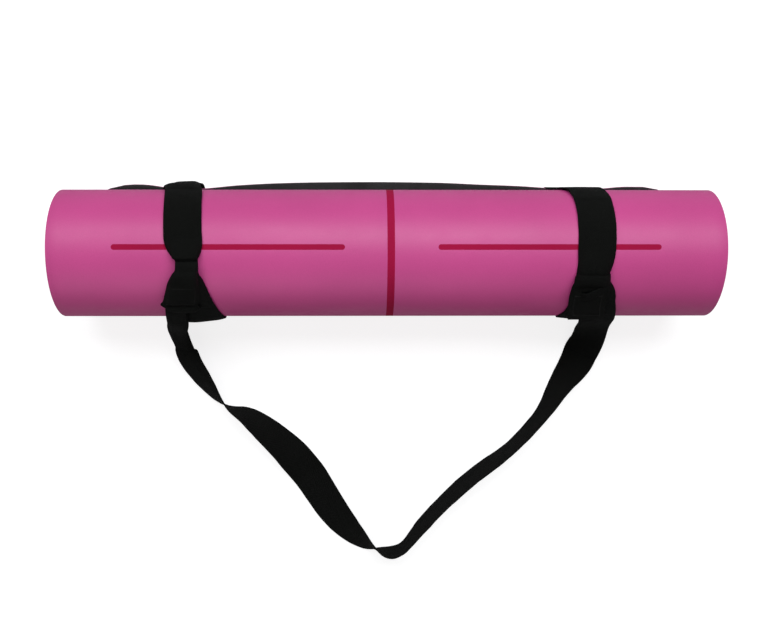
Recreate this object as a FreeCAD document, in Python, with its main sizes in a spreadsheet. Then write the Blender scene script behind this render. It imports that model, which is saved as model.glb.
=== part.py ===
"""A rolled exercise mat in its carry strap, as an assembly of separate pieces.

The mat is a long two-layer sheet wound into a roll that lies along X on its own flat underside.
Its free end is a straight tail on the +Y side. Two nooses of webbing, the two ends of one strap,
hold the roll, and the rest of the strap lies on the floor at the -Y side as a twisted V.
Lengths are in millimetres and angles in degrees. +Z is up and z = 0 is the floor.
"""

import FreeCAD, Part
import math
import os
import Sketcher

from FreeCAD import Placement, Rotation, Vector

DRIVING = {
    # the mat
    "mat_length": 1830.0,
    "mat_width": 680.0,
    "base_thick": 4.0,
    "top_thick": 1.0,
    "wrap_gap": 0.9,
    "core_radius": 32.5,
    "tail_length": 83.0,
    "corner_radius": 50.0,
    "flat_rise": 0.6,
    "flat_reach": 7.0,
    # the lines let into its top layer
    "line_depth": 0.2,
    "center_line_width": 7.5,
    "center_line_x": 3.0,
    "cross_line_width": 5.6,
    "cross_line_y": 4.7,
    "left_line_start": -275.0,
    "left_line_end": -43.0,
    "right_line_start": 50.0,
    "right_line_end": 273.0,
    # the strap
    "strap_width": 38.0,
    "strap_thick": 1.8,
    "strap_clearance": 0.3,
    "left_noose_x": -203.0,
    "right_noose_x": 210.0,
    "seam_size": 0.8,
    "seam_height": 0.35,
    "seam_inset": 3.5,
    # where things lie round the roll, measured from its crest towards -Y
    "strap_lift_angle": -45.0,
    "eye_start_angle": 16.0,
    "eye_end_angle": 47.0,
    "under_end_angle": 20.0,
    "over_end_angle": 38.0,
    "hinge_angle": 53.0,
}

# The carrying part's way over the floor from the left eye to the right: the share of the way from
# noose to noose, the distance out from the roll's -Y side, the least height of its middle line, and
# the turn of its face about its own run (0 lies flat, 90 stands on edge).
CARRY_ROUTE = [
    (-0.012, 18, 50, 10),
    (-0.026, 33, 20, 24),
    (-0.024, 54, 3, 38),
    (-0.002, 78, 0, 52),
    (0.053, 104, 0, 78),
    (0.124, 120, 0, 114),
    (0.211, 152, 0, 143),
    (0.281, 188, 0, 179),
    (0.352, 231, 0, 200),
    (0.422, 260, 0, 228),
    (0.491, 275, 0, 268),
    (0.541, 271, 0, 272),
    (0.591, 246, 0, 278),
    (0.668, 212, 0, 280),
    (0.751, 182, 0, 281),
    (0.840, 154, 0, 277),
    (0.924, 118, 0, 281),
    (0.976, 84, 0, 300),
    (1.018, 54, 3, 324),
    (1.027, 33, 20, 344),
    (1.015, 18, 50, 354),
]
# Where the strap still lies along the roll, below each eye: angle from the crest and lift off it.
ROLL_ROUTE = [(66, 0.4), (79, 3.0)]
# The radius of the strap's gathered ends, as a share of its thickness.
GATHERED_SHARE = 0.9
STATIONS_PER_SPAN = 4
FLOOR_GAP = 0.2

document = FreeCAD.newDocument("RolledMat")
sheet = document.addObject("Spreadsheet::Sheet", "Sizes")
for row, (alias, value) in enumerate(DRIVING.items(), start=1):
    sheet.set(f"A{row}", alias)
    sheet.set(f"B{row}", str(value))
    sheet.setAlias(f"B{row}", alias)
document.recompute()


def size(alias):
    """One driving dimension, as the sheet holds it."""
    return float(getattr(sheet, alias))


def turned(vector, angle):
    """A (y, z) direction turned from +Z towards -Y by angle degrees."""
    y, z = vector
    cosine, sine = math.cos(math.radians(angle)), math.sin(math.radians(angle))
    return (y * cosine - z * sine, y * sine + z * cosine)


def from_axis(angle, radius, center=(0.0, 0.0)):
    """The (y, z) point at a radius from a centre, at an angle from the crest towards -Y."""
    y, z = turned((0.0, 1.0), angle)
    return (center[0] + radius * y, center[1] + radius * z)


# ---- the roll: a sheet wound in half turns, whose centres alternate by half a pitch ----

SHEET_THICK = size("base_thick") + size("top_thick")
PITCH = SHEET_THICK + size("wrap_gap")
WOUND_LENGTH = size("mat_length") - size("tail_length")
ROLL_RADIUS = math.sqrt(size("core_radius") ** 2 + PITCH * WOUND_LENGTH / math.pi) + SHEET_THICK / 2
STRAP_LAYER = size("strap_thick") + size("strap_clearance")
ROLL_Z = STRAP_LAYER + ROLL_RADIUS - size("flat_rise")
# The last few degrees of the outer wrap bend tighter, and so meet the flat underside.
TIGHT_ANGLE = 2 * math.degrees(math.atan(size("flat_rise") / size("flat_reach")))
TIGHT_RADIUS = ROLL_RADIUS - size("flat_reach") / math.sin(math.radians(TIGHT_ANGLE))
TAIL_END = size("tail_length") - size("flat_reach")


def wraps():
    """The outer face as arcs (centre y, centre z, radius, from angle, to angle), outermost first.

    Angles run from the crest towards -Y, and each arc is given in the way from the free end
    towards the core. Centres are counted from the roll's axis.
    """
    tight_shift = ROLL_RADIUS - TIGHT_RADIUS
    tight_center = from_axis(180 - TIGHT_ANGLE, tight_shift)
    arcs = [
        (tight_center[0], tight_center[1], TIGHT_RADIUS, 180.0, 180.0 - TIGHT_ANGLE),
        (0.0, 0.0, ROLL_RADIUS, 180.0 - TIGHT_ANGLE, 0.0),
    ]
    middle = SHEET_THICK / 2
    left_over = WOUND_LENGTH - sum(math.radians(a[3] - a[4]) * (a[2] - middle) for a in arcs)
    radius = ROLL_RADIUS - PITCH / 2
    center_z, angle = PITCH / 2, 0.0
    while left_over > 0:
        sweep = min(180.0, math.degrees(left_over / (radius - middle)))
        arcs.append((0.0, center_z, radius, angle, angle - sweep))
        left_over -= math.radians(sweep) * (radius - middle)
        angle -= 180.0
        radius -= PITCH / 2
        center_z = PITCH / 2 - center_z
    return arcs


def arc_edge(center_y, center_z, radius, start, end):
    """A circular edge through its two ends and its middle."""
    angles = (start, (start + end) / 2, end)
    points = [from_axis(angle, radius, (center_y, center_z)) for angle in angles]
    return Part.Arc(*[Vector(y, z, 0) for y, z in points])


def offset_path(arcs, inset):
    """The arcs moved towards their centres by inset."""
    return [arc_edge(y, z, radius - inset, start, end) for y, z, radius, start, end in arcs]


def line_edge(start, end):
    """A straight edge between two points."""
    return Part.LineSegment(Vector(start), Vector(end))


def closed_outline(outer, inner):
    """Two chains of edges from the same side, with a straight edge across each pair of ends."""
    return (
        outer
        + inner
        + [line_edge(outer[0].StartPoint, inner[0].StartPoint)]
        + [line_edge(outer[-1].EndPoint, inner[-1].EndPoint)]
    )


def layer_outline(depth_from, depth_to):
    """The wound section of one layer of the sheet, between two depths from its outer face."""
    chains = []
    for depth in (depth_from, depth_to):
        arcs = offset_path(wraps(), depth)
        start = arcs[0].StartPoint
        chains.append([line_edge((TAIL_END, start.y, 0), start)] + arcs)
    return closed_outline(*chains)


def add_sketch(body, name, plane, geometry):
    """A sketch on one of a body's own origin planes."""
    sketch = body.newObject("Sketcher::SketchObject", name)
    support = next(f for f in body.Origin.OriginFeatures if f.Role == plane)
    sketch.AttachmentSupport = [(support, "")]
    sketch.MapMode = "FlatFace"
    sketch.addGeometry(geometry, False)
    return sketch


def add_body(label, base=(0, 0, 0), rotation=None):
    """A body with its label and its place."""
    body = document.addObject("PartDesign::Body", label + "_body")
    body.Label = label
    body.Placement = Placement(Vector(base), rotation or Rotation())
    return body


def padded(body, name, plane, geometry, width, both_ways=True):
    """A pad of an outline, with its length bound to an expression on the sheet."""
    pad = body.newObject("PartDesign::Pad", name + "_pad")
    pad.Profile = add_sketch(body, name + "_sketch", plane, geometry)
    pad.setExpression("Length", width)
    pad.Midplane = both_ways
    document.recompute()
    return pad


def round_tail_corners(body, pad, label):
    """The two upright edges at the end of the tail get the sheet's corner radius."""
    names = []
    for number, edge in enumerate(pad.Shape.Edges, start=1):
        ends = [vertex.Point for vertex in edge.Vertexes]
        if len(ends) == 2 and all(abs(p.y - TAIL_END) < 1e-4 for p in ends):
            if abs(ends[0].x - ends[1].x) < 1e-4:
                names.append(f"Edge{number}")
    fillet = body.newObject("PartDesign::Fillet", label + "_corners")
    fillet.Base = (pad, names)
    fillet.setExpression("Radius", "Sizes.corner_radius")
    document.recompute()
    return fillet


def make_layer(label, depth_from, depth_to):
    """One layer of the mat, over its whole length and width."""
    body = add_body(label, (0, 0, ROLL_Z))
    outline = layer_outline(depth_from, depth_to)
    pad = padded(body, label, "YZ_Plane", outline, "Sizes.mat_width")
    round_tail_corners(body, pad, label)
    return body


def make_center_line():
    """The line along the middle of the mat, let into the top layer from end to end."""
    body = add_body("center_line", (size("center_line_x"), 0, ROLL_Z))
    outline = layer_outline(0, size("line_depth"))
    padded(body, "center_line", "YZ_Plane", outline, "Sizes.center_line_width")
    return body


def make_cross_line(side):
    """A straight line across the mat with round ends, let into the top layer near the crest."""
    label = f"cross_line_{side}"
    half = size("cross_line_width") / 2
    start, end = size(f"{side}_line_start") + half, size(f"{side}_line_end") - half
    y = size("cross_line_y")
    slot = [
        line_edge((start, y - half, 0), (end, y - half, 0)),
        Part.Arc(Vector(end, y - half, 0), Vector(end + half, y, 0), Vector(end, y + half, 0)),
        line_edge((end, y + half, 0), (start, y + half, 0)),
        Part.Arc(Vector(start, y + half, 0), Vector(start - half, y, 0), Vector(start, y - half, 0)),
    ]
    cutter = add_body(label + "_cutter", (0, 0, ROLL_Z))
    padded(cutter, label + "_cutter", "XY_Plane", slot, f"{2 * ROLL_RADIUS}", False)
    center_z, radius = wraps()[2][1:3]
    shell = document.addObject("Part::Cut", label + "_shell")
    shell.Base = add_rod(label + "_outer", radius, center_z)
    shell.Tool = add_rod(label + "_inner", radius - size("line_depth"), center_z)
    line = document.addObject("Part::Common", label)
    line.Base, line.Tool = shell, cutter
    line.Label = label
    return line


def add_rod(name, radius, center_z):
    """A cylinder along X, as long as the mat is wide."""
    rod = document.addObject("Part::Cylinder", name)
    rod.Radius = radius
    rod.setExpression("Height", "Sizes.mat_width")
    start = Vector(-size("mat_width") / 2, 0, ROLL_Z + center_z)
    rod.Placement = Placement(start, Rotation(Vector(0, 1, 0), 90))
    return rod


def cut_lines(layer, lines):
    """The top layer with the lines' grooves in it."""
    grooves = document.addObject("Part::MultiFuse", "line_grooves")
    grooves.Shapes = lines
    top = document.addObject("Part::Cut", "mat_top_layer")
    top.Base, top.Tool = layer, grooves
    top.Label = "mat_top_layer"
    return top


# ---- the nooses ----

def lift_radius():
    """The radius by which the strap's arc grows where it lifts to pass over its own end."""
    lap = math.radians(size("under_end_angle") - size("strap_lift_angle"))
    return (size("strap_thick") + size("strap_clearance") / 2) / (1 - math.cos(lap))


def noose_paths():
    """Both faces of a noose as chains of edges, from the end under the eye round to the end in it.

    The strap comes up the -Y side, where its end lies under the eye. The other way it runs under
    the flat and the tail, round the tail's end and over the crest, and lifts to pass over itself.
    """
    clearance, thick = size("strap_clearance"), size("strap_thick")
    lift_from, lift_to = size("strap_lift_angle"), size("over_end_angle")
    lift_center = from_axis(lift_from, -lift_radius())
    tail_y, tail_z = TAIL_END, -ROLL_RADIUS + size("flat_rise") + SHEET_THICK / 2
    chains = []
    for gap in (clearance, clearance + thick):
        radius = ROLL_RADIUS + gap
        bend = SHEET_THICK / 2 + gap
        tight, outer = wraps()[:2]
        leave = tangent_angle((0.0, 0.0), radius, (tail_y, tail_z), bend)
        y, z, tight_radius, start, end = tight
        under = arc_edge(y, z, tight_radius + gap, end, start)
        tail_turn = arc_edge(tail_y, tail_z, bend, -180.0, leave)
        chains.append(
            [arc_edge(0.0, 0.0, radius, size("under_end_angle"), outer[3]), under]
            + [line_edge(under.EndPoint, tail_turn.StartPoint), tail_turn]
            + [line_edge(tail_turn.EndPoint, Vector(*from_axis(leave, radius), 0))]
            + [arc_edge(0.0, 0.0, radius, leave, lift_from)]
            + [arc_edge(*lift_center, radius + lift_radius(), lift_from, lift_to)]
        )
    return chains


def tangent_angle(center_a, radius_a, center_b, radius_b):
    """The angle of the outer tangent's normal, for the line on the +Y side of two circles."""
    dy, dz = center_b[0] - center_a[0], center_b[1] - center_a[1]
    distance = math.hypot(dy, dz)
    towards = math.degrees(math.atan2(-dy, dz))
    return towards + math.degrees(math.acos((radius_a - radius_b) / distance))


def make_noose(side):
    """One noose of webbing round the roll and its tail, open where the eye bridges it."""
    label = f"{side}_noose_band"
    body = add_body(label, (size(f"{side}_noose_x"), 0, ROLL_Z))
    padded(body, label, "YZ_Plane", closed_outline(*noose_paths()), "Sizes.strap_width")
    return body


def eye_radius():
    """The inner face of the eye's bridge, just clear of the strap that passes under it."""
    lapped = math.radians(size("over_end_angle") - size("strap_lift_angle"))
    rise = lift_radius() * (1 - math.cos(lapped))
    return ROLL_RADIUS + rise + size("strap_thick") + 2 * size("strap_clearance")


def box_outline(low_x, high_x, low_z, high_z):
    """A rectangle in the XZ plane."""
    corners = [(low_x, low_z), (high_x, low_z), (high_x, high_z), (low_x, high_z)]
    points = [Vector(x, z, 0) for x, z in corners]
    return [line_edge(points[i], points[(i + 1) % 4]) for i in range(4)]


def eye_profile():
    """The eye's section: a bridge of webbing with a cheek down each edge of the strap."""
    half, thick = size("strap_width") / 2, size("strap_thick")
    foot, bridge = ROLL_RADIUS + size("strap_clearance"), eye_radius()
    right = [(half, foot), (half + thick, foot), (half + thick, bridge + thick)]
    corners = right + [(-x, z) for x, z in reversed(right)] + [(-half, bridge), (half, bridge)]
    points = [Vector(x, z, 0) for x, z in corners]
    return [line_edge(points[i], points[(i + 1) % len(points)]) for i in range(len(points))]


def revolved(body, name, geometry, angle):
    """An outline turned about the roll's axis from the body's XZ plane towards -Y."""
    turn = body.newObject("PartDesign::Revolution", name)
    turn.Profile = add_sketch(body, name + "_sketch", "XZ_Plane", geometry)
    turn.ReferenceAxis = (turn.Profile[0], ["H_Axis"])
    turn.Angle = angle
    document.recompute()
    if turn.Shape.BoundBox.YMax > -turn.Shape.BoundBox.YMin:
        turn.Reversed = True
        document.recompute()
    return turn


def make_eye(side):
    """The sewn eye at the strap's end, through which the strap runs to the carrying part."""
    start = size("eye_start_angle")
    place = (size(f"{side}_noose_x"), 0, ROLL_Z)
    body = add_body(f"{side}_eye", place, Rotation(Vector(1, 0, 0), start))
    revolved(body, f"{side}_eye_turn", eye_profile(), size("eye_end_angle") - start)
    return body


def make_stitching(side):
    """The box seam that stands on the eye's bridge: two rows along it and a row across each end."""
    seam, inset = size("seam_size"), size("seam_inset")
    low = eye_radius() + size("strap_thick")
    high = low + size("seam_height")
    inset_angle = math.degrees(inset / low)
    start = size("eye_start_angle") + inset_angle
    sweep = size("eye_end_angle") - start - inset_angle
    row_angle = math.degrees(seam / low)
    edge = size("strap_width") / 2 - inset
    label = f"{side}_eye_stitching"
    pieces = [
        ("near_edge", box_outline(-edge, -edge + seam, low, high), start, sweep),
        ("far_edge", box_outline(edge - seam, edge, low, high), start, sweep),
        ("first_row", box_outline(-edge, edge, low, high), start, row_angle),
        ("last_row", box_outline(-edge, edge, low, high), start + sweep - row_angle, row_angle),
    ]
    rows = []
    for name, outline, from_angle, angle in pieces:
        place = (size(f"{side}_noose_x"), 0, ROLL_Z)
        body = add_body(f"{label}_{name}", place, Rotation(Vector(1, 0, 0), from_angle))
        revolved(body, f"{label}_{name}_turn", outline, angle)
        rows.append(body)
    seam_box = document.addObject("Part::MultiFuse", label)
    seam_box.Shapes = rows
    seam_box.Label = label
    return seam_box


# ---- the carrying part of the strap ----

def along_roll(side, angle, lift=0.0):
    """A point of the carrying part's middle line that lies on the noose, lifted off it by lift."""
    radius = ROLL_RADIUS + STRAP_LAYER + size("strap_clearance") + bead_radius() + lift
    y, z = from_axis(angle, radius)
    return Vector(size(f"{side}_noose_x"), y, ROLL_Z + z)


def hinge_point(side):
    """The middle of the gathered end that turns in an eye's mouth."""
    return along_roll(side, size("hinge_angle"))


def bead_radius():
    """The gathered end of the strap is a little thicker than the strap."""
    return GATHERED_SHARE * size("strap_thick")


def smooth(values, position):
    """A value between hand-set ones, on a curve that passes through each (Catmull-Rom)."""
    span = min(int(position), len(values) - 2)
    t = position - span
    before = values[max(span - 1, 0)]
    here, there = values[span], values[span + 1]
    after = values[min(span + 2, len(values) - 1)]
    slope_here, slope_there = (there - before) / 2, (after - here) / 2
    return (
        (2 * t**3 - 3 * t**2 + 1) * here
        + (t**3 - 2 * t**2 + t) * slope_here
        + (3 * t**2 - 2 * t**3) * there
        + (t**3 - t**2) * slope_there
    )


def carry_route():
    """The whole hand-set route as x, y, least height and face turn, from bead to bead."""
    left, right = size("left_noose_x"), size("right_noose_x")
    places = [(size("hinge_angle"), 0.0)] + ROLL_ROUTE
    down = [along_roll("left", *place) for place in places]
    up = [along_roll("right", *place) for place in reversed(places)]
    floor = [
        (left + share * (right - left), -ROLL_RADIUS - out, height, face)
        for share, out, height, face in CARRY_ROUTE
    ]
    return [(*point, 0) for point in down] + floor + [(*point, 360) for point in up]


def carry_stations():
    """Points along the strap's middle line, each with the turn of its face."""
    route = carry_route()
    columns = list(zip(*route))
    half_width, half_thick = size("strap_width") / 2, size("strap_thick") / 2
    stations = []
    for step in range((len(route) - 1) * STATIONS_PER_SPAN + 1):
        x, y, z, face = [smooth(column, step / STATIONS_PER_SPAN) for column in columns]
        turn = math.radians(face)
        rest = half_width * abs(math.sin(turn)) + half_thick * abs(math.cos(turn)) + FLOOR_GAP
        stations.append((Vector(x, y, max(z, rest)), turn))
    return stations


def carry_section(stations, number):
    """The strap's rectangular section at a station, square to its run."""
    here, turn = stations[number]
    before = stations[max(number - 1, 0)][0]
    after = stations[min(number + 1, len(stations) - 1)][0]
    run = (after - before).normalize()
    # Level across the run, and along the roll where the strap hangs steeply down its side.
    along = Vector(-math.copysign(run.z**2, run.y), 0, 0)
    level = Vector(0, 0, 1).cross(run) + along
    level = (level - run * level.dot(run)).normalize()
    across = level * math.cos(turn) + run.cross(level) * math.sin(turn)
    face = run.cross(across)
    across *= size("strap_width") / 2
    face *= size("strap_thick") / 2
    corners = [here - across - face, here + across - face, here + across + face, here - across + face]
    return Part.makePolygon(corners + corners[:1])


def make_carry_strap():
    """The long middle of the strap, as one ribbon with a gathered end in each eye's mouth."""
    stations = carry_stations()
    sections = [carry_section(stations, number) for number in range(len(stations))]
    ribbon = Part.makeLoft(sections, True, True)
    for side in ("left", "right"):
        center = hinge_point(side)
        start = center - Vector(size("strap_width") / 2, 0, 0)
        end = Part.makeCylinder(bead_radius(), size("strap_width"), start, Vector(1, 0, 0))
        ribbon = ribbon.fuse(end)
    strap = document.addObject("Part::Feature", "carry_strap")
    strap.Shape = ribbon
    strap.Label = "carry_strap"
    return strap


def build():
    """Every piece of the assembly, in the order a maker would put it together."""
    base = make_layer("mat_base_layer", size("top_thick"), SHEET_THICK)
    blank = make_layer("mat_top_blank", 0, size("top_thick"))
    lines = [make_center_line(), make_cross_line("left"), make_cross_line("right")]
    pieces = [base, cut_lines(blank, lines)] + lines
    for side in ("left", "right"):
        pieces += [make_noose(side), make_eye(side), make_stitching(side)]
    pieces.append(make_carry_strap())
    return pieces


def check(pieces):
    """Stop if any object failed to compute or any piece isn't a sound solid."""
    for item in document.Objects:
        if "Invalid" in item.State or "Error" in item.State:
            raise RuntimeError(f"{item.Label} failed: {item.State}")
    for piece in pieces:
        if piece.Shape.isNull() or not piece.Shape.isValid() or not piece.Shape.Solids:
            raise RuntimeError(f"{piece.Label} isn't a valid solid")


def main():
    pieces = build()
    document.recompute()
    check(pieces)
    os.makedirs("parts", exist_ok=True)
    for piece in pieces:
        piece.Shape.exportStep(f"parts/{piece.Label}.step")
        box = piece.Shape.BoundBox
        print(f"{piece.Label:22} solids {len(piece.Shape.Solids)}  volume {piece.Shape.Volume:12.1f}")
        print(f"   x {box.XMin:8.2f} {box.XMax:8.2f}  y {box.YMin:8.2f} {box.YMax:8.2f}"
              f"  z {box.ZMin:8.2f} {box.ZMax:8.2f}")
    print("roll radius", round(ROLL_RADIUS, 2), "axis height", round(ROLL_Z, 2))
    print("hinge", hinge_point("left"), hinge_point("right"))


main()
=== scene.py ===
"""Rolled exercise mat in its carry strap, laid out as a Blender add-on and run as a script.

The mat is one long two-layer sheet wound into a roll along X, with its free end as a tail at +Y.
A black webbing strap holds it with a noose near each end, and the rest of the strap lies on the
floor at -Y as a twisted V. Everything is in metres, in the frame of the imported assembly.
"""
import math

import bpy
import numpy as np
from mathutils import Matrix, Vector


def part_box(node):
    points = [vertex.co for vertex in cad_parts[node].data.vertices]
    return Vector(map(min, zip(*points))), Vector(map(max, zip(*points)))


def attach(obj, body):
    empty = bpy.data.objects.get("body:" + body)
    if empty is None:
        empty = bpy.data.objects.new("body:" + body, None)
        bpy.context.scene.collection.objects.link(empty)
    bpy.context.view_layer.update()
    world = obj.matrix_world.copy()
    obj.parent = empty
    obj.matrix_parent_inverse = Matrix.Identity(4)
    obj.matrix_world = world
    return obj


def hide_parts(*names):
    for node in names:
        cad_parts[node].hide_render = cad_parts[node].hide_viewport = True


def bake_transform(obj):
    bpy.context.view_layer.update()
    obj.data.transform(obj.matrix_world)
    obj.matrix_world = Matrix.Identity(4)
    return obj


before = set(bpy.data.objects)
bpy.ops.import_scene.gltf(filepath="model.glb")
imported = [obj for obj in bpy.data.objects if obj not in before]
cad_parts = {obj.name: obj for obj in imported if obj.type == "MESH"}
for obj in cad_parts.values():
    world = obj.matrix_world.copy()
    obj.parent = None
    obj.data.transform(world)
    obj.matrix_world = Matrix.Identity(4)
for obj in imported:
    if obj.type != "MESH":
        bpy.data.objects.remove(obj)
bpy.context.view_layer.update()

bl_info = {
    "name": "Rolled Exercise Mat",
    "version": (1, 0, 0),
    "blender": (4, 5, 0),
    "location": "View3D > Sidebar > Mat",
    "description": "Builds a rolled exercise mat in a webbing carry strap, with its stage",
    "category": "Object",
}

MM = 0.001
HALF_TURN = 180.0

# ---- the roll, as the frame gives it ----

TOP_LOW, TOP_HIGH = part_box("mat_top_layer")
BASE_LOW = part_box("mat_base_layer")[0]
LINE_LOW, LINE_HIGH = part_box("center_line")
BAND_LOW, BAND_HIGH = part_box("left_noose_band")
ROLL_RADIUS = -TOP_LOW.y
ROLL_Z = TOP_HIGH.z - ROLL_RADIUS
UNDERSIDE = TOP_LOW.z
FLAT_RISE = UNDERSIDE - (ROLL_Z - ROLL_RADIUS)
TAIL_END = TOP_HIGH.y
TOP_THICK = BASE_LOW.y - TOP_LOW.y
STRAP_WIDTH = BAND_HIGH.x - BAND_LOW.x


def noose_x(side):
    """The middle of a noose, along the roll."""
    return sum(corner.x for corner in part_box(f"{side}_noose_band")) / 2


# ---- sizes and colours that a user would change ----

class MatSettings(bpy.types.PropertyGroup):
    """Sizes and colours of the mat."""

    length: bpy.props.FloatProperty(
        name="Length", description="Length of the unrolled sheet", default=1.83, unit="LENGTH")
    base_thick: bpy.props.FloatProperty(
        name="Base thickness", description="Thickness of the rubber base", default=0.004,
        precision=4, unit="LENGTH")
    wrap_gap: bpy.props.FloatProperty(
        name="Wrap gap", description="Air between one wrap and the next", default=0.0009,
        precision=5, unit="LENGTH")
    corner: bpy.props.FloatProperty(
        name="Corner radius", description="Radius of the sheet's corners", default=0.05,
        unit="LENGTH")
    flat_reach: bpy.props.FloatProperty(
        name="Flat reach", description="How far the flat underside reaches towards -Y",
        default=0.007, precision=4, unit="LENGTH")
    tail_reach: bpy.props.FloatProperty(
        name="Tail reach", description="How far the tail's edge comes out where it lies flat",
        default=0.0795, precision=4, unit="LENGTH")
    face_color: bpy.props.FloatVectorProperty(
        name="Face colour", description="Colour of the polyurethane face", subtype="COLOR",
        size=4, default=(0.60, 0.068, 0.268, 1.0))
    line_color: bpy.props.FloatVectorProperty(
        name="Line colour", description="Colour of the alignment lines", subtype="COLOR",
        size=4, default=(0.37, 0.005, 0.050, 1.0))
    rubber_color: bpy.props.FloatVectorProperty(
        name="Rubber colour", description="Colour of the rubber base", subtype="COLOR",
        size=4, default=(0.008, 0.0075, 0.0075, 1.0))


class StrapSettings(bpy.types.PropertyGroup):
    """Sizes and colours of the strap."""

    thickness: bpy.props.FloatProperty(
        name="Thickness", description="Thickness of the webbing", default=0.0018,
        precision=4, unit="LENGTH")
    gap: bpy.props.FloatProperty(
        name="Gap", description="Clearance between the webbing and the mat", default=0.0003,
        precision=4, unit="LENGTH")
    thread_pitch: bpy.props.FloatProperty(
        name="Thread pitch", description="Distance from one rib of the weave to the next",
        default=0.0016, precision=4, unit="LENGTH")
    stitch_length: bpy.props.FloatProperty(
        name="Stitch length", description="Length of one stitch of the eye's seam",
        default=0.0032, precision=4, unit="LENGTH")
    color: bpy.props.FloatVectorProperty(
        name="Webbing colour", description="Colour of the webbing", subtype="COLOR",
        size=4, default=(0.0039, 0.0044, 0.0036, 1.0))


def mat_settings():
    """The mat's sizes and colours."""
    return bpy.context.scene.rolled_mat


def strap_settings():
    """The strap's sizes and colours."""
    return bpy.context.scene.carry_strap


# ---- shaping helpers ----

def polar(angle, radius, center=(0.0, ROLL_Z)):
    """The (y, z) point at a radius from a centre, at degrees from straight up towards -Y."""
    turn = np.radians(angle)
    return center[0] - radius * np.sin(turn), center[1] + radius * np.cos(turn)


def outward(angle):
    """The direction (y, z) at degrees from straight up towards -Y."""
    return polar(angle, 1.0, (0.0, 0.0))


def unit(vector):
    """A vector's direction, at a length of 1."""
    return vector / np.linalg.norm(vector)


def hermite(t, here, slope_here, there, slope_there):
    """A cubic from here to there, with its slopes at both ends."""
    return (
        (2 * t**3 - 3 * t**2 + 1) * here
        + (t**3 - 2 * t**2 + t) * slope_here
        + (3 * t**2 - 2 * t**3) * there
        + (t**3 - t**2) * slope_there
    )


def smooth_between(places, values, where):
    """Values between given ones, on a curve with no overshoot between its points."""
    where = np.asarray(where, float)
    places, values = np.asarray(places, float), np.asarray(values, float)
    steps = np.diff(values) / np.diff(places)
    slopes = np.zeros(len(values))
    same_way = steps[:-1] * steps[1:] > 0
    total = np.where(same_way, steps[:-1] + steps[1:], 1.0)
    slopes[1:-1] = np.where(same_way, 2 * steps[:-1] * steps[1:] / total, 0.0)
    slopes[0], slopes[-1] = steps[0], steps[-1]
    span = np.clip(np.searchsorted(places, where) - 1, 0, len(places) - 2)
    width = places[span + 1] - places[span]
    t = np.clip((where - places[span]) / width, 0, 1)
    return hermite(
        t, values[span], width * slopes[span], values[span + 1], width * slopes[span + 1])


def rolling_curve(values, position):
    """Values on a curve through given ones that are evenly spaced (Catmull-Rom)."""
    values = np.asarray(values, float)
    span = np.clip(np.floor(position).astype(int), 0, len(values) - 2)
    t = position - span
    before, here = values[np.maximum(span - 1, 0)], values[span]
    there, after = values[span + 1], values[np.minimum(span + 2, len(values) - 1)]
    return hermite(t, here, (there - before) / 2, there, (after - here) / 2)


def soft_waves(where, seed, longest):
    """Slow uneven waves from -1 to 1 along a line, the same each run for the same seed."""
    rng = np.random.default_rng(seed)
    total = np.zeros_like(np.asarray(where, float))
    for octave in range(3):
        phase, stretch = rng.uniform(0, 2 * math.pi), rng.uniform(0.85, 1.15)
        total += np.sin(2 * math.pi * where * 1.9**octave * stretch / longest + phase) / 1.7**octave
    return total / 2.0


def vertex_places(piece):
    """The place of every vertex of a piece, a row each."""
    places = np.empty(len(piece.data.vertices) * 3)
    piece.data.vertices.foreach_get("co", places)
    return places.reshape(-1, 3)


def place_vertices(piece, x, y, z):
    """Moves every vertex of a piece to its place."""
    piece.data.vertices.foreach_set("co", np.stack([x, y, z], axis=1).ravel())
    piece.data.update()


def add_grid(name, columns, rows):
    """A grid primitive, with the place of each vertex over it from 0 to 1 both ways."""
    bpy.ops.object.select_all(action="DESELECT")
    bpy.ops.mesh.primitive_grid_add(
        x_subdivisions=columns, y_subdivisions=rows, size=1, calc_uvs=True)
    piece = bpy.context.active_object
    piece.name = piece.data.name = name
    flat = vertex_places(piece) + 0.5
    return piece, flat[:, 0], flat[:, 1]


def scale_uv(piece, width, length):
    """Gives a piece's own map in metres, across and along it."""
    layer = piece.data.uv_layers.active.data
    uv = np.empty(len(layer) * 2)
    layer.foreach_get("uv", uv)
    uv = uv.reshape(-1, 2) * (width, length)
    layer.foreach_set("uv", uv.ravel())


def select_only(piece):
    """Selects one piece only."""
    bpy.ops.object.select_all(action="DESELECT")
    piece.select_set(True)
    bpy.context.view_layer.objects.active = piece


def apply_modifier(piece, kind, name, **values):
    """Adds a modifier with its values and applies it."""
    select_only(piece)
    modifier = piece.modifiers.new(name, kind)
    for key, value in values.items():
        setattr(modifier, key, value)
    bpy.ops.object.modifier_apply(modifier=modifier.name)


def thicken(piece, thickness, offset, edge=0.0):
    """Gives a surface its thickness, and rounds the edges round its rim."""
    apply_modifier(piece, "SOLIDIFY", "Thickness", thickness=thickness, offset=offset,
                   use_even_offset=False, use_rim=True)
    if edge:
        apply_modifier(piece, "BEVEL", "Edge", width=edge, segments=2,
                       limit_method="ANGLE", angle_limit=math.radians(50))
    bpy.ops.object.shade_smooth_by_angle(angle=math.radians(40))


def check_outward(piece):
    """Turns a closed piece the right way round if its faces point inwards."""
    select_only(piece)
    bpy.ops.object.mode_set(mode="EDIT")
    bpy.ops.mesh.select_all(action="SELECT")
    bpy.ops.mesh.normals_make_consistent(inside=False)
    bpy.ops.object.mode_set(mode="OBJECT")


# ---- materials ----

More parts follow.
